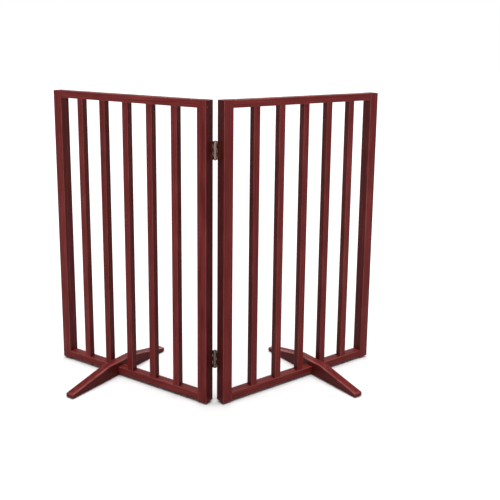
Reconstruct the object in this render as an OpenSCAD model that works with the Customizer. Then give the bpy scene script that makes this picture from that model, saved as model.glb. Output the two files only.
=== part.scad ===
// Two-panel folding pet gate: slatted wooden frames, butt hinges and lift-off saddle feet.
// Millimetres. +Z is up, the floor is z = 0 and the middle of the footprint is the origin.
// The panels stand as a V that points towards -Y. Each panel is drawn in a frame of its own:
// X runs outward from the hinge axis, the front face looks towards -Y and Z is up.

/* [Gate] */
// Height of the gate above the floor
gate_h = 610; // [450:5:900]
// Width of one panel over its two stiles
panel_w = 406; // [340:2:560]
// Angle between the two panels as they stand
rest_angle = 110; // [80:1:150]

/* [Frame] */
// Width of a stile seen from the front
stile_w = 22; // [18:0.5:30]
// Depth of a stile from front to back
stile_d = 23; // [22:0.5:30]
// Height of the top and bottom rails
rail_h = 15.5; // [14:0.5:20]
// How far the rails sit back from the stile faces
rail_reveal = 1.5; // [0.5:0.5:3]
// Open space between the floor and the bottom rail
rail_lift = 4.5; // [3:0.5:8]
// Radius of the long edges of stiles and rails
edge_r = 1.5; // [0.5:0.25:2]
// Chamfer round the bottom end of each stile
stile_chamfer = 2.5; // [1:0.5:3]
// Chamfer round the top end of each stile
top_chamfer = 1; // [0.5:0.25:2]

/* [Pickets] */
// Width of a picket seen from the front
picket_w = 15; // [12:0.5:18]
// Depth of a picket from front to back
picket_d = 14; // [12:0.5:16]
// How far the pickets sit back from the rail fronts
picket_inset = 1; // [0.5:0.5:3]
// Shift of the row of pickets towards the outer stile
picket_shift = 2; // [-4:0.5:4]
// Length of the tenon at each end of a picket
tenon_l = 8; // [5:0.5:10]

/* [Feet] */
// Length of a foot from front to back
foot_l = 290; // [240:5:340]
// Width of a foot
foot_w = 20; // [18:0.5:24]
// Height of a foot over the rail
foot_h = 32; // [30:0.5:45]
// Height of a foot at its ends
foot_end_h = 11; // [9:0.5:14]
// Length of the level top in the middle of a foot
foot_level = 72; // [50:2:100]
// Chamfer along the top edges of a foot
foot_chamfer = 2.5; // [1:0.5:4]
// Clearance between a foot's notch and the rail
foot_fit = 0.4; // [0.3:0.1:1]
// Space between a foot and the picket beside it
foot_to_picket = 3.5; // [2:0.5:5]

/* [Hinges] */
// Height of a hinge
hinge_h = 36; // [30:1:50]
// Height of the lower hinge's middle above the floor
hinge_from_floor = 92; // [70:1:140]
// Distance of the upper hinge's middle below the top
hinge_from_top = 96; // [70:1:140]
// Outer diameter of the hinge barrel
barrel_d = 8; // [7:0.5:9]
// Diameter of the hinge pin
pin_d = 4; // [3:0.5:4.5]
// Width of a leaf from the hinge axis
leaf_w = 13; // [12:0.5:16]
// Thickness of a leaf
leaf_t = 1.5; // [1.2:0.1:1.8]
// How far the hinge axis lies behind the stiles' back faces
hinge_setback = 1; // [0.5:0.25:2]

/* [Pads] */
// Thickness of the pads under stiles and feet
pad_t = 2; // [1.5:0.5:3]
// Diameter of the round pads under the stiles
stile_pad_d = 16; // [12:1:17]
// Length of the pads under the feet
foot_pad_l = 26; // [18:1:40]

/* [Hidden] */

$fn = 48;
wood_color = [0.42, 0.18, 0.17];
hinge_color = [0.22, 0.13, 0.09];
screw_color = [0.50, 0.42, 0.32];
pad_color = [0.07, 0.07, 0.07];

eps = 0.01;                 // overlap that makes one solid of two touching ones
cut = 1;                    // how far a cutter stands out of what it cuts
picket_count = 5;
joint_gap = 0.1;            // glue space round a tenon

// Places along a panel's width, from the hinge axis
stile_x = barrel_d / 2;
rail_x = stile_x + stile_w;
rail_l = panel_w - 2 * stile_w;
hinge_stile_x = stile_x + stile_w / 2;
outer_stile_x = stile_x + panel_w - stile_w / 2;
picket_gap = (rail_l - picket_count * picket_w) / (picket_count + 1);
picket_pitch = picket_w + picket_gap;
first_picket_x = rail_x + picket_gap + picket_shift + picket_w / 2;
foot_side_picket = 4;
foot_x = first_picket_x + (foot_side_picket - 1) * picket_pitch
    - picket_w / 2 - foot_to_picket - foot_w / 2;

// Places through a panel's depth: the back face is behind the front by the stile's depth
back_y = -hinge_setback;
mid_y = back_y - stile_d / 2;
rail_d = stile_d - 2 * rail_reveal;
picket_y = mid_y - rail_d / 2 + picket_inset + picket_d / 2;

// Heights
rail_top = rail_lift + rail_h;
top_rail_bottom = gate_h - rail_h;
rail_middles = [rail_lift + rail_h / 2, gate_h - rail_h / 2];
hinge_heights = [gate_h - hinge_from_top, hinge_from_floor];

// Picket tenons and the dowels that hold the rails to the stiles
tenon_shoulder = 3;
tenon_w = picket_w - 2 * tenon_shoulder;
tenon_d = picket_d - 2 * tenon_shoulder;
picket_edge_r = 1.2;
dowel_d = 6;
dowel_half_l = 12;
dowel_fit = 0.05;           // radial space round a dowel
dowel_offset = rail_d / 4;
dowel_tip = 0.8;            // bevel at a dowel's ends

// Hinges
leaf_x = stile_x - leaf_t;
knuckle_count = 5;
knuckle_h = hinge_h / knuckle_count;
outer_knuckles = [0, 2, 4];  // the left leaf's, counted from the bottom
inner_knuckles = [1, 3];     // the right leaf's
knuckle_gap = 0.3;          // space between one knuckle and the next
pin_fit = 0.05;             // radial space round the pin
swing_gap = 0.4;            // radial space where the other leaf's knuckles turn
pin_head_h = 1.2;
pin_head_d = pin_d + 2;
screw_y = -leaf_w * 0.62;
screw_z = hinge_h * 0.3;
screw_head_d = 6;
screw_shank_d = 2.9;
screw_l = 13;
screw_tip_l = 2;
screw_tip_r = 0.3;
screw_fit = 0.05;
cross_l = 3.7;              // length, width and depth of the driver cross in a screw's head
cross_w = 0.8;
cross_h = 0.7;
cross_turn = 20;

// Feet
foot_half = foot_l / 2;
foot_end_chamfer = 3;
foot_corner = 1.5;
foot_slope = atan((foot_h - foot_end_h) / (foot_half - foot_end_chamfer - foot_level / 2));
notch_half = rail_d / 2 + foot_fit;
notch_top = rail_top + foot_fit;
foot_pad_y = foot_half - foot_pad_l / 2 - foot_end_chamfer;
foot_pad_w = foot_w - 4;
foot_pad_r = 3;

// The V: half of what the panels are turned from a straight line, and where the hinge axis is
fold = (180 - rest_angle) / 2;
front_y = (stile_x + edge_r) * sin(fold) + (back_y - stile_d + edge_r) * cos(fold) - edge_r;
rear_y = (foot_x + foot_w / 2) * sin(fold) + (mid_y + foot_half) * cos(fold)
    - foot_corner * min(sin(fold), cos(fold));
axis_y = -(front_y + rear_y) / 2;

// ---------- placing ----------

module right_panel() {
    translate([0, axis_y, 0]) rotate([0, 0, fold]) children();
}

module left_panel() {
    mirror([1, 0, 0]) right_panel() children();
}

// ---------- shared shapes ----------

// Rectangle with round corners, centred on the origin
module round_rect(w, d, r) {
    square([w, d - 2 * r], center = true);
    square([w - 2 * r, d], center = true);
    for (x = [-1, 1], y = [-1, 1])
        translate([x * (w / 2 - r), y * (d / 2 - r)]) circle(r = r);
}

// Outline of a post seen from one side, with its four ends bevelled
module post_outline(w, h, bottom, top) {
    polygon([
        [-w / 2 + bottom, 0], [w / 2 - bottom, 0], [w / 2, bottom], [w / 2, h - top],
        [w / 2 - top, h], [-w / 2 + top, h], [-w / 2, h - top], [-w / 2, bottom]
    ]);
}

// Upright post with round long edges and bevelled ends, standing on z = 0
module post(w, d, h, r, bottom, top) {
    intersection() {
        linear_extrude(height = h) round_rect(w, d, r);
        translate([0, d / 2 + cut, 0]) rotate([90, 0, 0])
            linear_extrude(height = d + 2 * cut) post_outline(w, h, bottom, top);
        translate([-w / 2 - cut, 0, 0]) rotate([90, 0, 90])
            linear_extrude(height = w + 2 * cut) post_outline(d, h, bottom, top);
    }
}

// The two places, side by side in the depth, of the dowels at one end of a rail
module at_dowels(x, z) {
    for (y = [-1, 1])
        translate([x, mid_y + y * dowel_offset, z]) rotate([0, 90, 0]) children();
}

module dowel_holes(x, z) {
    at_dowels(x, z) cylinder(r = dowel_d / 2 + dowel_fit, h = 2 * dowel_half_l, center = true);
}

// ---------- frame ----------

// Stile with its middle at centre_x and dowel holes in the face at rail_end_x
module stile(centre_x, rail_end_x) {
    color(wood_color)
    difference() {
        translate([centre_x, mid_y, pad_t])
            post(stile_w, stile_d, gate_h - pad_t, edge_r, stile_chamfer, top_chamfer);
        for (z = rail_middles) dowel_holes(rail_end_x, z);
    }
}

module outer_stile() {
    stile(outer_stile_x, rail_x + rail_l);
}

module hinge_stile() {
    color(wood_color)
    difference() {
        stile(hinge_stile_x, rail_x);
        for (z = hinge_heights) translate([0, 0, z]) screw_places() screw_hole();
    }
}

// Rail with its mortises on the side that faces the pickets
module rail(bottom_z, mortise_z) {
    color(wood_color)
    difference() {
        translate([rail_x, mid_y, bottom_z + rail_h / 2]) rotate([90, 0, 90])
            linear_extrude(height = rail_l) round_rect(rail_d, rail_h, edge_r);
        for (x = [rail_x, rail_x + rail_l]) dowel_holes(x, bottom_z + rail_h / 2);
        for (i = [0 : picket_count - 1])
            translate([first_picket_x + i * picket_pitch, picket_y, mortise_z])
                cube([tenon_w + 2 * joint_gap, tenon_d + 2 * joint_gap, 2 * tenon_l], center = true);
    }
}

module top_rail() {
    rail(top_rail_bottom, top_rail_bottom);
}

module bottom_rail() {
    rail(rail_lift, rail_top);
}

module picket(i) {
    color(wood_color)
    translate([first_picket_x + (i - 1) * picket_pitch, picket_y, 0]) {
        translate([0, 0, rail_top])
            linear_extrude(height = top_rail_bottom - rail_top)
                round_rect(picket_w, picket_d, picket_edge_r);
        translate([-tenon_w / 2, -tenon_d / 2, rail_top - tenon_l])
            cube([tenon_w, tenon_d, top_rail_bottom - rail_top + 2 * tenon_l]);
    }
}

module dowel() {
    rotate_extrude() polygon([
        [0, -dowel_half_l], [dowel_d / 2 - dowel_tip, -dowel_half_l],
        [dowel_d / 2, -dowel_half_l + dowel_tip], [dowel_d / 2, dowel_half_l - dowel_tip],
        [dowel_d / 2 - dowel_tip, dowel_half_l], [0, dowel_half_l]
    ]);
}

module dowels() {
    color("burlywood")
    for (x = [rail_x, rail_x + rail_l], z = rail_middles)
        at_dowels(x, z) dowel();
}

module stile_pad(x) {
    color(pad_color)
    translate([x, mid_y, 0]) cylinder(d = stile_pad_d, h = pad_t);
}

module outer_pad() {
    stile_pad(outer_stile_x);
}

module inner_pad() {
    stile_pad(hinge_stile_x);
}

// ---------- feet ----------

// Side view of a foot above its pads: level over the rail, then sloping to blunt ends
module foot_outline() {
    end_z = foot_end_h - foot_end_chamfer;
    polygon([
        [-foot_half, pad_t], [foot_half, pad_t], [foot_half, end_z],
        [foot_half - foot_end_chamfer, foot_end_h], [foot_level / 2, foot_h],
        [-foot_level / 2, foot_h], [-foot_half + foot_end_chamfer, foot_end_h],
        [-foot_half, end_z]
    ]);
}

// Cuts the chamfer along one top edge. The edge runs through the origin along Y.
module edge_cutter() {
    side = foot_chamfer * sqrt(2);
    rotate([0, 45, 0]) cube([side, foot_l, side], center = true);
}

module foot_body() {
    difference() {
        translate([-foot_w / 2, 0, 0]) rotate([90, 0, 90])
            linear_extrude(height = foot_w) foot_outline();
        for (x = [-foot_w / 2, foot_w / 2]) {
            translate([x, 0, foot_h]) edge_cutter();
            for (side = [-1, 1])
                translate([x, side * foot_level / 2, foot_h]) rotate([-side * foot_slope, 0, 0])
                    translate([0, side * foot_l / 2, 0]) edge_cutter();
        }
        for (x = [-1, 1], y = [-1, 1])
            translate([x * foot_w / 2, y * foot_half, foot_h / 2]) rotate([0, 0, 45])
                cube([foot_corner * sqrt(2), foot_corner * sqrt(2), 2 * foot_h], center = true);
        translate([-foot_w / 2 - cut, -notch_half, pad_t - cut])
            cube([foot_w + 2 * cut, 2 * notch_half, notch_top - pad_t + cut]);
    }
}

module foot() {
    color(wood_color)
    translate([foot_x, mid_y, 0]) foot_body();
}

// side is -1 for the front end of the foot and 1 for the back end
module foot_pad(side) {
    color(pad_color)
    translate([foot_x, mid_y + side * foot_pad_y, 0])
        linear_extrude(height = pad_t) round_rect(foot_pad_w, foot_pad_l, foot_pad_r);
}

// ---------- hinges ----------

module screw_places() {
    for (z = [-screw_z, screw_z])
        translate([leaf_x, screw_y, z]) rotate([0, 90, 0]) children();
}

module screw_hole() {
    translate([0, 0, leaf_t - cut])
        cylinder(r = screw_shank_d / 2 + screw_fit, h = screw_l - leaf_t + cut + screw_fit);
}

module countersink() {
    cylinder(r1 = screw_head_d / 2 + screw_fit, r2 = screw_shank_d / 2 + screw_fit, h = leaf_t);
    translate([0, 0, -cut]) cylinder(r = screw_head_d / 2 + screw_fit, h = cut + eps);
}

module screw() {
    difference() {
        union() {
            cylinder(r1 = screw_head_d / 2, r2 = screw_shank_d / 2, h = leaf_t);
            cylinder(r = screw_shank_d / 2, h = screw_l - screw_tip_l);
            translate([0, 0, screw_l - screw_tip_l])
                cylinder(r1 = screw_shank_d / 2, r2 = screw_tip_r, h = screw_tip_l);
        }
        for (turn = [0, 90])
            rotate([0, 0, turn + cross_turn]) cube([cross_l, cross_w, 2 * cross_h], center = true);
    }
}

// Leaf on the end face of a stile. It carries the knuckles whose numbers are in the list own.
module leaf(own) {
    all = [0 : knuckle_count - 1];
    others = [for (i = all) if (len(search(i, own)) == 0) i];
    color(hinge_color)
    difference() {
        union() {
            difference() {
                translate([leaf_x, -leaf_w, -hinge_h / 2]) cube([leaf_t, leaf_w, hinge_h]);
                for (i = others)
                    translate([0, 0, -hinge_h / 2 + i * knuckle_h - knuckle_gap / 2])
                        cylinder(r = barrel_d / 2 + swing_gap, h = knuckle_h + knuckle_gap);
            }
            for (i = own) translate([0, 0, -hinge_h / 2 + i * knuckle_h + knuckle_gap / 2])
                cylinder(r = barrel_d / 2, h = knuckle_h - knuckle_gap);
        }
        translate([0, 0, -hinge_h / 2 - cut])
            cylinder(r = pin_d / 2 + pin_fit, h = hinge_h + 2 * cut);
        screw_places() countersink();
    }
}

module hinge_pin() {
    color(hinge_color) {
        translate([0, 0, -hinge_h / 2]) cylinder(d = pin_d, h = hinge_h);
        for (end = [0, 1])
            mirror([0, 0, end]) translate([0, 0, hinge_h / 2])
                cylinder(d1 = pin_head_d, d2 = pin_d, h = pin_head_h);
    }
}

module hinge_screws() {
    color(screw_color)
    screw_places() screw();
}

module at_upper_hinge() {
    translate([0, 0, hinge_heights[0]]) children();
}

module at_lower_hinge() {
    translate([0, 0, hinge_heights[1]]) children();
}

// ---------- nodes ----------

module left_outer_stile() { left_panel() outer_stile(); }
module left_hinge_stile() { left_panel() hinge_stile(); }
module left_top_rail() { left_panel() top_rail(); }
module left_bottom_rail() { left_panel() bottom_rail(); }
module left_picket_1() { left_panel() picket(1); }
module left_picket_2() { left_panel() picket(2); }
module left_picket_3() { left_panel() picket(3); }
module left_picket_4() { left_panel() picket(4); }
module left_picket_5() { left_panel() picket(5); }
module left_dowels() { left_panel() dowels(); }
module left_outer_pad() { left_panel() outer_pad(); }
module left_inner_pad() { left_panel() inner_pad(); }

module right_outer_stile() { right_panel() outer_stile(); }
module right_hinge_stile() { right_panel() hinge_stile(); }
module right_top_rail() { right_panel() top_rail(); }
module right_bottom_rail() { right_panel() bottom_rail(); }
module right_picket_1() { right_panel() picket(1); }
module right_picket_2() { right_panel() picket(2); }
module right_picket_3() { right_panel() picket(3); }
module right_picket_4() { right_panel() picket(4); }
module right_picket_5() { right_panel() picket(5); }
module right_dowels() { right_panel() dowels(); }
module right_outer_pad() { right_panel() outer_pad(); }
module right_inner_pad() { right_panel() inner_pad(); }

module left_foot() { left_panel() foot(); }
module left_foot_front_pad() { left_panel() foot_pad(-1); }
module left_foot_back_pad() { left_panel() foot_pad(1); }
module right_foot() { right_panel() foot(); }
module right_foot_front_pad() { right_panel() foot_pad(-1); }
module right_foot_back_pad() { right_panel() foot_pad(1); }

module upper_hinge_left_leaf() { left_panel() at_upper_hinge() leaf(outer_knuckles); }
module upper_hinge_right_leaf() { right_panel() at_upper_hinge() leaf(inner_knuckles); }
module upper_hinge_pin() { left_panel() at_upper_hinge() hinge_pin(); }
module upper_hinge_left_screws() { left_panel() at_upper_hinge() hinge_screws(); }
module upper_hinge_right_screws() { right_panel() at_upper_hinge() hinge_screws(); }
module lower_hinge_left_leaf() { left_panel() at_lower_hinge() leaf(outer_knuckles); }
module lower_hinge_right_leaf() { right_panel() at_lower_hinge() leaf(inner_knuckles); }
module lower_hinge_pin() { left_panel() at_lower_hinge() hinge_pin(); }
module lower_hinge_left_screws() { left_panel() at_lower_hinge() hinge_screws(); }
module lower_hinge_right_screws() { right_panel() at_lower_hinge() hinge_screws(); }

left_outer_stile();
left_hinge_stile();
left_top_rail();
left_bottom_rail();
left_picket_1();
left_picket_2();
left_picket_3();
left_picket_4();
left_picket_5();
left_dowels();
left_outer_pad();
left_inner_pad();
right_outer_stile();
right_hinge_stile();
right_top_rail();
right_bottom_rail();
right_picket_1();
right_picket_2();
right_picket_3();
right_picket_4();
right_picket_5();
right_dowels();
right_outer_pad();
right_inner_pad();
left_foot();
left_foot_front_pad();
left_foot_back_pad();
right_foot();
right_foot_front_pad();
right_foot_back_pad();
upper_hinge_left_leaf();
upper_hinge_right_leaf();
upper_hinge_pin();
upper_hinge_left_screws();
upper_hinge_right_screws();
lower_hinge_left_leaf();
lower_hinge_right_leaf();
lower_hinge_pin();
lower_hinge_left_screws();
lower_hinge_right_screws();
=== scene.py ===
"""Two-panel folding pet gate in a plain pale studio. Metres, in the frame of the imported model."""

import math

import bpy
from mathutils import Matrix, Vector


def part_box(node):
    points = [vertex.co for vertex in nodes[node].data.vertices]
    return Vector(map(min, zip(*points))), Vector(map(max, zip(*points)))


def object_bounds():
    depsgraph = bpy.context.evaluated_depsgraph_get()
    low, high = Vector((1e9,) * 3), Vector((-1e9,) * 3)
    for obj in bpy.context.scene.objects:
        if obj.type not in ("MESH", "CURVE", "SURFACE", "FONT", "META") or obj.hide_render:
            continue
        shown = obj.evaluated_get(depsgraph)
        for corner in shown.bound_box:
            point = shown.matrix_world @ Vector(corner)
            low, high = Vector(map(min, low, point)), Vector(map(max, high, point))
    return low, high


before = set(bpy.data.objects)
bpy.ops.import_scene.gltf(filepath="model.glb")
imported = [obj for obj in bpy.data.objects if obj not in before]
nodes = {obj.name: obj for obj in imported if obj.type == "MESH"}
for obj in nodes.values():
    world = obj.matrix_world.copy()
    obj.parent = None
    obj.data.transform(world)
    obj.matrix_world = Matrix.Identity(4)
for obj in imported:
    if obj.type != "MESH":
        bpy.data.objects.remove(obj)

cad_low, cad_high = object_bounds()
scene = bpy.context.scene

SIDES = ("left", "right")
HINGES = ("upper_hinge", "lower_hinge")
PICKETS = 5
UP = Vector((0, 0, 1))


def middle(node):
    """Middle of a CAD node's box."""
    low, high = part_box(node)
    return (low + high) / 2


def along_panel(side):
    """Direction of a side's rails, level, away from the hinges."""
    way = middle(side + "_outer_stile") - middle(side + "_hinge_stile")
    way.z = 0
    return way.normalized()


def give(material, *names):
    """Puts a material on these CAD nodes in place of the one they came with."""
    for name in names:
        nodes[name].data.materials.clear()
        nodes[name].data.materials.append(material)


# ---------- camera ----------

# Places are from the hinge axis on the floor: X right, Y away from the camera, Z up
CAMERA_PLACE = Vector((0.0211, -1.3996, 0.7238))
CAMERA_YAW = math.radians(1.865)      # turned to the right
CAMERA_PITCH = math.radians(11.163)   # tipped down
CAMERA_ROLL = math.radians(0.646)
CAMERA_LENS = 53.66                   # millimetres
CAMERA_SENSOR = 36                    # its width in millimetres
CAMERA_SHIFT_Y = -0.13
CAMERA_CLIP = (0.01, 100)

axis = middle("upper_hinge_pin")
axis.z = 0

camera = bpy.data.objects.new("camera", bpy.data.cameras.new("camera"))
scene.collection.objects.link(camera)
camera.data.sensor_width = CAMERA_SENSOR
camera.data.lens = CAMERA_LENS
camera.data.shift_y = CAMERA_SHIFT_Y
camera.data.clip_start, camera.data.clip_end = CAMERA_CLIP
camera.matrix_world = (
    Matrix.Translation(axis + CAMERA_PLACE)
    @ Matrix.Rotation(-CAMERA_YAW, 4, "Z")
    @ Matrix.Rotation(math.pi / 2 - CAMERA_PITCH, 4, "X")
    @ Matrix.Rotation(CAMERA_ROLL, 4, "Z")
)
scene.camera = camera
scene.view_settings.view_transform = "Standard"


# ---------- node helpers ----------


class Graph:
    """A node tree and short ways to add to it. Inputs are given by name or place, as a value or as the
    output socket that feeds them."""

    def __init__(self, tree):
        self.tree = tree

    def add(self, kind, inputs=None, **settings):
        node = self.tree.nodes.new(kind)
        for name, value in settings.items():
            setattr(node, name, value)
        for key, value in (inputs or {}).items():
            self.feed(node.inputs[key], value)
        return node

    def feed(self, socket, value):
        if isinstance(value, bpy.types.NodeSocket):
            self.tree.links.new(value, socket)
        else:
            socket.default_value = value

    def math(self, operation, a, b):
        return self.add("ShaderNodeMath", {0: a, 1: b}, operation=operation).outputs[0]

    def weighted(self, *terms):
        """Sum of the terms, each a value and its weight."""
        products = [self.math("MULTIPLY", value, weight) for value, weight in terms]
        total = products[0]
        for product in products[1:]:
            total = self.math("ADD", total, product)
        return total

    def vector(self, operation, a, b=(0, 0, 0)):
        return self.add("ShaderNodeVectorMath", {0: a, 1: b}, operation=operation).outputs["Vector"]

    def noise(self, place, rate, detail=3.0, roughness=0.5):
        """Noise with about rate waves a metre, the same in all directions or one number for each."""
        if isinstance(rate, tuple):
            place, rate = self.vector("MULTIPLY", place, rate), 1.0
        node = self.add("ShaderNodeTexNoise", {
            "Vector": place, "Scale": rate, "Detail": detail, "Roughness": roughness})
        return node.outputs["Fac"]

    def smooth(self, value, start, end, low=0.0, high=1.0):
        """Goes smoothly from low to high as value goes from start to end."""
        node = self.add("ShaderNodeMapRange", {
            "Value": value, "From Min": start, "From Max": end, "To Min": low, "To Max": high},
            interpolation_type="SMOOTHSTEP")
        return node.outputs["Result"]

    def mix(self, factor, a, b):
        """Colour a where factor is 0 and colour b where it is 1."""
        node = self.add("ShaderNodeMix", data_type="RGBA")
        for key, value in (("Factor_Float", factor), ("A_Color", a), ("B_Color", b)):
            socket = next(s for s in node.inputs if s.identifier == key)
            if isinstance(value, tuple):
                value = (*value, 1.0)
            self.feed(socket, value)
        return next(s for s in node.outputs if s.identifier == "Result_Color")

    def object_place(self):
        """Where a point lies in the gate at rest, in metres."""
        return self.add("ShaderNodeTexCoord").outputs["Object"]


def new_material(name):
    """A material with nothing but a shader: the material, its graph and the shader."""
    material = bpy.data.materials.new(name)
    material.use_nodes = True
    material.node_tree.nodes.clear()
    graph = Graph(material.node_tree)
    shader = graph.add("ShaderNodeBsdfPrincipled")
    graph.add("ShaderNodeOutputMaterial", {"Surface": shader.outputs[0]})
    return material, graph, shader


def new_group(name, inputs, outputs):
    """An empty node group with these sockets, as (name, type) pairs."""
    tree = bpy.data.node_groups.new(name, "ShaderNodeTree")
    for direction, sockets in (("INPUT", inputs), ("OUTPUT", outputs)):
        for socket, kind in sockets:
            tree.interface.new_socket(socket, in_out=direction, socket_type="NodeSocket" + kind)
    graph = Graph(tree)
    return graph, graph.add("NodeGroupInput"), graph.add("NodeGroupOutput")


def surface(g, shader, color, roughness, height):
    """Feeds a shader its colour, its roughness and its relief, which is in metres."""
    bump = g.add("ShaderNodeBump", {"Height": height, "Strength": 1.0, "Distance": 1.0})
    g.feed(shader.inputs["Base Color"], color)
    g.feed(shader.inputs["Roughness"], roughness)
    g.feed(shader.inputs["Normal"], bump.outputs[0])


# ---------- stained wood ----------

# Linear colours of the stain: where the wood takes much of it, as it mostly is, and where it takes
# little. Arrises are rubbed thinner, and their lighter colour also stands in for a painted highlight
# along them. End grain drinks more.
STAIN_DEEP = (0.035, 0.0026, 0.0025)
STAIN_BODY = (0.056, 0.0064, 0.0060)
STAIN_LIGHT = (0.088, 0.0140, 0.0130)
STAIN_PORE = (0.012, 0.0018, 0.0018)
# Lighter colour of the arrises: rubbed-off stain and a painted highlight line in one
STAIN_ARRIS_AND_HIGHLIGHT = (0.200, 0.0620, 0.0540)
SATIN_SPECULAR = 0.06

# Waves a metre of what varies in the wood: along the grain, then twice across it
WANDER_RATE = (5, 14, 14)
STREAK_RATE = (7, 260, 260)
FIBRE_RATE = (32, 1500, 1500)
CLOUD_RATE = (16, 42, 42)
PORE_RATE = (130, 2300, 2300)
RUB_RATE = (24, 60, 60)
SMEAR_RATE = (22, 30, 30)

WANDER_REACH = 0.010          # how far the fibres swing across the grain
RING_STRETCH = (0.15, 1, 1)   # rings are drawn out along the grain
RING_SCALE = 74.0             # makes them about 4 mm apart


def stained_wood_group():
    """Colour, roughness and relief of stained wood. Place is in metres with X along the grain, and
    Facing is the surface normal in the same directions. Tone lightens the wood, and the last input is how
    far the arrises are rubbed lighter, a colour that also paints a highlight line along them."""
    g, given, result = new_group(
        "stained_wood",
        [("Place", "Vector"), ("Facing", "Vector"), ("Tone", "Float"), ("WearAndHighlight", "Float")],
        [("Color", "Color"), ("Roughness", "Float"), ("Height", "Float")])
    place, facing, tone, wear_and_highlight = (given.outputs[n] for n in ("Place", "Facing", "Tone", "WearAndHighlight"))

    # The fibres wander a little from straight
    wander = g.add("ShaderNodeTexNoise", {
        "Vector": g.vector("MULTIPLY", place, WANDER_RATE), "Scale": 1.0, "Detail": 2.0})
    drift = g.vector("MULTIPLY", g.vector("SUBTRACT", wander.outputs["Color"], (0.5, 0.5, 0.5)),
                     (0, WANDER_REACH, WANDER_REACH))
    fibre = g.vector("ADD", place, drift)

    # Growth rings round a pith beside the board
    rings = g.add("ShaderNodeTexWave", {
        "Vector": g.vector("MULTIPLY", fibre, RING_STRETCH), "Scale": RING_SCALE, "Distortion": 2.2,
        "Detail": 2.0, "Detail Scale": 0.6}, wave_type="RINGS", rings_direction="X").outputs["Fac"]
    # Long streaks where the stain took differently, and finer fibres in them
    streaks = g.noise(fibre, STREAK_RATE, 3.0, 0.6)
    fibres = g.noise(fibre, FIBRE_RATE, 2.0, 0.6)
    # Clouds in the stain, a few centimetres long
    clouds = g.noise(place, CLOUD_RATE, 3.0, 0.55)
    # Open pores: short dark dashes
    pores = g.smooth(g.noise(fibre, PORE_RATE, 1.0, 0.4), 0.63, 0.72)

    shade = g.weighted((streaks, 0.75), (rings, 0.16), (clouds, 0.45), (fibres, 0.14))
    shade = g.math("ADD", shade, g.math("SUBTRACT", tone, 0.18))
    color = g.mix(g.smooth(shade, 0.28, 0.60), STAIN_DEEP, STAIN_BODY)
    color = g.mix(g.smooth(shade, 0.58, 0.86), color, STAIN_LIGHT)
    color = g.mix(g.math("MULTIPLY", pores, 0.55), color, STAIN_PORE)

    # End grain: the surface looks along the fibres
    along = g.add("ShaderNodeSeparateXYZ", {0: g.vector("ABSOLUTE", facing)})
    end_grain = g.smooth(along.outputs["X"], 0.80, 0.97)
    color = g.mix(g.math("MULTIPLY", end_grain, 0.75), color, STAIN_DEEP)

    # Arris: no one direction has most of the normal. Rubbed lighter in patches along its length, which
    # also paints a highlight line along the arrises.
    most = g.math("MAXIMUM", along.outputs["X"], g.math("MAXIMUM", along.outputs["Y"], along.outputs["Z"]))
    arris = g.smooth(most, 0.985, 0.86)
    rub = g.smooth(g.noise(place, RUB_RATE, 3.0, 0.6), 0.30, 0.70, 0.35, 1.0)
    # Cut ends soak up more stain, so little is rubbed off their arrises
    sound = g.smooth(along.outputs["X"], 0.30, 0.60, 1.0, 0.35)
    # How much of the arris colour shows: rubbed stain and painted highlight
    arris_wear_and_highlight = g.math("MULTIPLY", g.math("MULTIPLY", arris, rub), g.math("MULTIPLY", sound, wear_and_highlight))
    color = g.mix(arris_wear_and_highlight, color, STAIN_ARRIS_AND_HIGHLIGHT)

    # Satin lacquer: duller in the pores and on end grain, polished where hands rub the arris
    smears = g.smooth(g.noise(place, SMEAR_RATE, 4.0, 0.6), 0.25, 0.75, 0.30, 0.42)
    rough = g.weighted((smears, 1.0), (pores, 0.15), (end_grain, 0.14), (arris_wear_and_highlight, -0.10))

    height = g.weighted((streaks, 0.00010), (fibres, 0.00003), (clouds, 0.00035), (pores, -0.00004))

    for name, value in (("Color", color), ("Roughness", rough), ("Height", height)):
        g.feed(result.inputs[name], value)
    return g.tree


def wood_material(name, grain, face, board, tone, wear_and_highlight):
    """Stained wood whose fibres run along grain, on a piece with faces square to face. board moves the
    piece to wood of its own."""
    material, g, shader = new_material(name)
    turn = Matrix((grain, face, grain.cross(face))).to_euler()
    coordinates = g.add("ShaderNodeTexCoord")
    place = g.add("ShaderNodeMapping", {
        "Vector": coordinates.outputs["Object"], "Location": board, "Rotation": turn})
    facing = g.add("ShaderNodeMapping", {
        "Vector": coordinates.outputs["Normal"], "Rotation": turn}, vector_type="VECTOR")
    wood = g.add("ShaderNodeGroup", node_tree=wood_group)
    for socket, value in (("Place", place.outputs[0]), ("Facing", facing.outputs[0]),
                          ("Tone", tone), ("WearAndHighlight", wear_and_highlight)):
        g.feed(wood.inputs[socket], value)
    surface(g, shader, wood.outputs["Color"], wood.outputs["Roughness"], wood.outputs["Height"])
    shader.inputs["Specular IOR Level"].default_value = SATIN_SPECULAR
    return material


wood_group = stained_wood_group()

BOARD_STEP = Vector((0.83, 0.117, 0.071))   # from one piece's wood to the next's
TONES = (0.02, -0.05, 0.04, 0.0, -0.03, 0.05, -0.01)
# How strongly the arrises take their lighter colour, rubbed stain and painted highlight in one
FRAME_WEAR_AND_HIGHLIGHT = 0.38
FOOT_WEAR_AND_HIGHLIGHT = 0.62      # shoes and paws rub the feet

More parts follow.
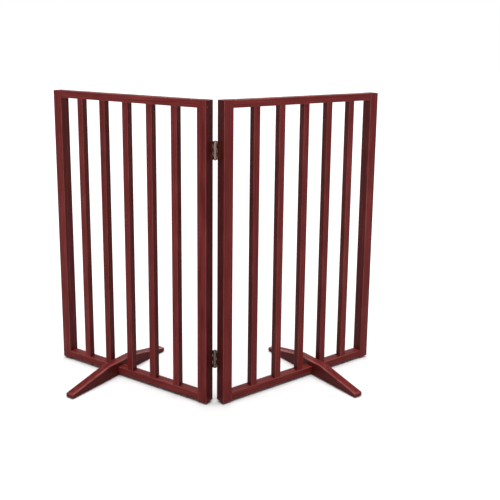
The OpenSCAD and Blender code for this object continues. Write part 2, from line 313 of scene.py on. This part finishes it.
boards = 0
for side in SIDES:
    level = along_panel(side)
    across = level.cross(UP)
    # The way of the grain, and a way that some of the faces look
    directions = {"outer_stile": (UP, level), "hinge_stile": (UP, level), "top_rail": (level, UP),
                  "bottom_rail": (level, UP), "foot": (across, UP)}
    directions.update({f"picket_{i}": (UP, level) for i in range(1, PICKETS + 1)})
    for part, (grain, face) in directions.items():
        name = f"{side}_{part}"
        tone = TONES[boards % len(TONES)]
        wear_and_highlight = FOOT_WEAR_AND_HIGHLIGHT if part == "foot" else FRAME_WEAR_AND_HIGHLIGHT
        give(wood_material("stained_" + name, grain, face, BOARD_STEP * boards, tone, wear_and_highlight), name)
        boards += 1


# ---------- other materials ----------


def dowel_material():
    """Bare hardwood with open fibres."""
    material, g, shader = new_material("bare_dowel_wood")
    fibres = g.noise(g.object_place(), (400, 400, 900))
    color = g.mix(g.smooth(fibres, 0.3, 0.7), (0.42, 0.27, 0.14), (0.62, 0.44, 0.26))
    roughness = g.smooth(fibres, 0.2, 0.8, 0.55, 0.75)
    surface(g, shader, color, roughness, g.math("MULTIPLY", fibres, 0.0001))
    return material


BARREL_RUBBED = 0.0040      # from the hinge axis, the finish is rubbed right down
BARREL_KEPT = 0.0054        # and here it is whole


def metal_material(name, dark, bright, rubbed_bare, rough_low, rough_high):
    """Plated steel with darker patina in patches and fine rubbing marks. Near the hinge axis, where the
    knuckles turn and are handled, the finish is rubbed towards rubbed_bare."""
    material, g, shader = new_material(name)
    place = g.object_place()
    patina = g.noise(place, 190.0)
    grit = g.noise(place, 3200.0, 2.0, 0.6)
    marks = g.noise(place, (900, 900, 120), 3.0, 0.6)
    from_axis = g.vector("MULTIPLY", g.vector("SUBTRACT", place, tuple(axis)), (1, 1, 0))
    reach = g.add("ShaderNodeVectorMath", {0: from_axis}, operation="LENGTH").outputs["Value"]
    handled = g.math("MULTIPLY", g.smooth(reach, BARREL_KEPT, BARREL_RUBBED),
                     g.smooth(marks, 0.25, 0.60, 0.55, 1.0))
    color = g.mix(g.smooth(patina, 0.32, 0.68), dark, bright)
    color = g.mix(handled, color, rubbed_bare)
    satin = g.smooth(marks, 0.25, 0.75, rough_low, rough_high)
    roughness = g.weighted((satin, 1.0), (patina, 0.06), (handled, -0.14))
    surface(g, shader, color, roughness, g.weighted((marks, 0.000004), (grit, 0.000001)))
    shader.inputs["Metallic"].default_value = 1.0
    return material


def rubber_material():
    """Moulded black rubber, dusty in patches."""
    material, g, shader = new_material("pad_rubber")
    place = g.object_place()
    dust = g.noise(place, 190.0, 4.0, 0.65)
    grit = g.noise(place, 2400.0, 2.0, 0.6)
    color = g.mix(g.smooth(dust, 0.45, 0.80), (0.012, 0.012, 0.012), (0.055, 0.052, 0.048))
    roughness = g.smooth(dust, 0.3, 0.8, 0.62, 0.85)
    surface(g, shader, color, roughness, g.math("MULTIPLY", grit, 0.00005))
    return material


bronze = metal_material(
    "hinge_bronze", dark=(0.064, 0.012, 0.008), bright=(0.110, 0.026, 0.019),
    rubbed_bare=(0.110, 0.076, 0.066), rough_low=0.36, rough_high=0.46)
pin_steel = metal_material(
    "pin_steel", dark=(0.16, 0.12, 0.10), bright=(0.26, 0.20, 0.17),
    rubbed_bare=(0.20, 0.155, 0.135), rough_low=0.20, rough_high=0.32)
screw_bronze = metal_material(
    "screw_bronze", dark=(0.060, 0.030, 0.021), bright=(0.120, 0.070, 0.052),
    rubbed_bare=(0.30, 0.20, 0.17), rough_low=0.24, rough_high=0.36)
dowel_wood = dowel_material()
rubber = rubber_material()

for hinge in HINGES:
    give(bronze, f"{hinge}_left_leaf", f"{hinge}_right_leaf")
    give(pin_steel, f"{hinge}_pin")
    give(screw_bronze, f"{hinge}_left_screws", f"{hinge}_right_screws")
for side in SIDES:
    give(dowel_wood, f"{side}_dowels")
    give(rubber, *(f"{side}_{pad}" for pad in ("outer_pad", "inner_pad", "foot_front_pad", "foot_back_pad")))


# ---------- softened edges ----------

FOOT_ROUNDING = 0.0006
ROUNDING_SEGMENTS = 3
SHARP_FROM = math.radians(12)     # edges that turn by more are rounded
FLAT_UP_TO = math.radians(0.5)    # faces that turn by less are one face
SAME_POINT = 1e-6


def soften(piece, width):
    """Rounds a piece's sharp edges by width."""
    weld = piece.modifiers.new("weld", "WELD")
    weld.merge_threshold = SAME_POINT
    flat = piece.modifiers.new("flat", "DECIMATE")
    flat.decimate_type = "DISSOLVE"
    flat.angle_limit = FLAT_UP_TO
    bevel = piece.modifiers.new("bevel", "BEVEL")
    bevel.width = width
    bevel.segments = ROUNDING_SEGMENTS
    bevel.limit_method = "ANGLE"
    bevel.angle_limit = SHARP_FROM
    piece.modifiers.new("even", "WEIGHTED_NORMAL")


for side in SIDES:
    soften(nodes[side + "_foot"], FOOT_ROUNDING)


# ---------- floor and light ----------

FLOOR_SIZE = 30.0
FLOOR_GAP = 0.0002      # keeps the floor clear of the pads' undersides
FLOOR_COLOR = (0.90, 0.90, 0.90, 1)
FLOOR_ROUGHNESS = 0.8
FLOOR_SPECULAR = 0.1


def make_floor():
    """A wide, pale, matt floor."""
    half = FLOOR_SIZE / 2
    mesh = bpy.data.meshes.new("floor")
    mesh.from_pydata(
        [(x * half, y * half, -FLOOR_GAP) for x, y in ((-1, -1), (1, -1), (1, 1), (-1, 1))], [],
        [(0, 1, 2, 3)])
    floor = bpy.data.objects.new("floor", mesh)
    scene.collection.objects.link(floor)
    material, g, shader = new_material("studio_floor")
    shader.inputs["Base Color"].default_value = FLOOR_COLOR
    shader.inputs["Roughness"].default_value = FLOOR_ROUGHNESS
    shader.inputs["Specular IOR Level"].default_value = FLOOR_SPECULAR
    mesh.materials.append(material)
    return floor


def new_lamp(name, kind, power, lit):
    """A lamp that shines only on the objects in lit."""
    lamp = bpy.data.objects.new(name, bpy.data.lights.new(name, kind))
    lamp.data.energy = power
    scene.collection.objects.link(lamp)
    group = bpy.data.collections.new(name + "_lit")
    for thing in lit:
        group.objects.link(thing)
    lamp.light_linking.receiver_collection = group
    return lamp


def soft_light(name, place, target, size, power, lit):
    """A softbox at place that faces target."""
    lamp = new_lamp(name, "AREA", power, lit)
    lamp.data.shape = "RECTANGLE"
    lamp.data.size, lamp.data.size_y = size
    lamp.location = place
    lamp.rotation_euler = (target - place).to_track_quat("-Z", "Y").to_euler()
    lamp.visible_camera = False


def overhead_light(name, spread, strength, lit):
    """Even light from straight above, so wide that its shadows are soft."""
    new_lamp(name, "SUN", strength, lit).data.angle = spread


def make_world(shown, zenith, horizon, full_height):
    """The camera sees plain white, as bright as shown. Light comes from a dome that brightens from the
    horizon up to full_height, where the unit sphere's top is 1."""
    world = bpy.data.worlds.new("studio")
    scene.world = world
    world.use_nodes = True
    world.node_tree.nodes.clear()
    g = Graph(world.node_tree)
    up = g.add("ShaderNodeSeparateXYZ", {0: g.add("ShaderNodeTexCoord").outputs["Generated"]})
    dome = g.smooth(up.outputs["Z"], 0.0, full_height, horizon, zenith)
    seen = g.add("ShaderNodeLightPath").outputs["Is Camera Ray"]
    strength = g.add("ShaderNodeMix", data_type="FLOAT")
    for socket, value in ((0, seen), (2, dome), (3, shown)):
        g.feed(strength.inputs[socket], value)
    back = g.add("ShaderNodeBackground", {"Color": (1, 1, 1, 1), "Strength": strength.outputs[0]})
    g.add("ShaderNodeOutputWorld", {"Surface": back.outputs[0]})


def tipped_up(way, elevation):
    """The level direction way, raised by elevation."""
    return way * math.cos(elevation) + UP * math.sin(elevation)


SKY_SHOWN = 1.0
SKY_ZENITH = 0.50
SKY_HORIZON = 0.13
SKY_FULL_HEIGHT = 0.8
FLOOR_SUN = 3.3
FLOOR_SUN_SPREAD = math.radians(60)
GATE_SUN = 6.5
GATE_SUN_SPREAD = math.radians(36)

# Square to each panel's two faces, a softbox each
PANEL_BOX_ELEVATION = math.radians(13)
PANEL_BOX_DISTANCE = 3.0
PANEL_BOX_SIZE = (1.2, 1.2)
FRONT_POWER = 112
BACK_POWER = 105

# Before the gate and higher up, the key light
KEY_ELEVATION = math.radians(38)
KEY_DISTANCE = 3.5
KEY_SIZE = (1.4, 1.0)
KEY_POWER = 60

# Behind the gate, from its centre, a faint card
CARD_PLACE = Vector((0, 2.5, 0.5))
CARD_SIZE = (3.0, 0.7)
CARD_POWER = 7

gate = nodes.values()
centre = (cad_low + cad_high) / 2
front = Vector((0, -1, 0))

floor = make_floor()
make_world(SKY_SHOWN, SKY_ZENITH, SKY_HORIZON, SKY_FULL_HEIGHT)
overhead_light("floor_overhead", FLOOR_SUN_SPREAD, FLOOR_SUN, [floor])
overhead_light("gate_overhead", GATE_SUN_SPREAD, GATE_SUN, gate)
soft_light("backdrop_card", centre + CARD_PLACE, centre, CARD_SIZE, CARD_POWER, gate)
key_place = centre + tipped_up(front, KEY_ELEVATION) * KEY_DISTANCE
soft_light("key_softbox", key_place, centre, KEY_SIZE, KEY_POWER, gate)
for side in SIDES:
    # Both panels' softboxes light the hinges, so that their two leaves match
    panel = [piece for name, piece in nodes.items() if name.startswith((side, *HINGES))]
    square = along_panel(side).cross(UP)
    square *= math.copysign(1, -square.y)
    aim = (middle(side + "_outer_stile") + middle(side + "_hinge_stile")) / 2
    for face, way, power in (("front", square, FRONT_POWER), ("back", -square, BACK_POWER)):
        place = aim + tipped_up(way, PANEL_BOX_ELEVATION) * PANEL_BOX_DISTANCE
        soft_light(f"{side}_{face}_softbox", place, aim, PANEL_BOX_SIZE, power, panel)
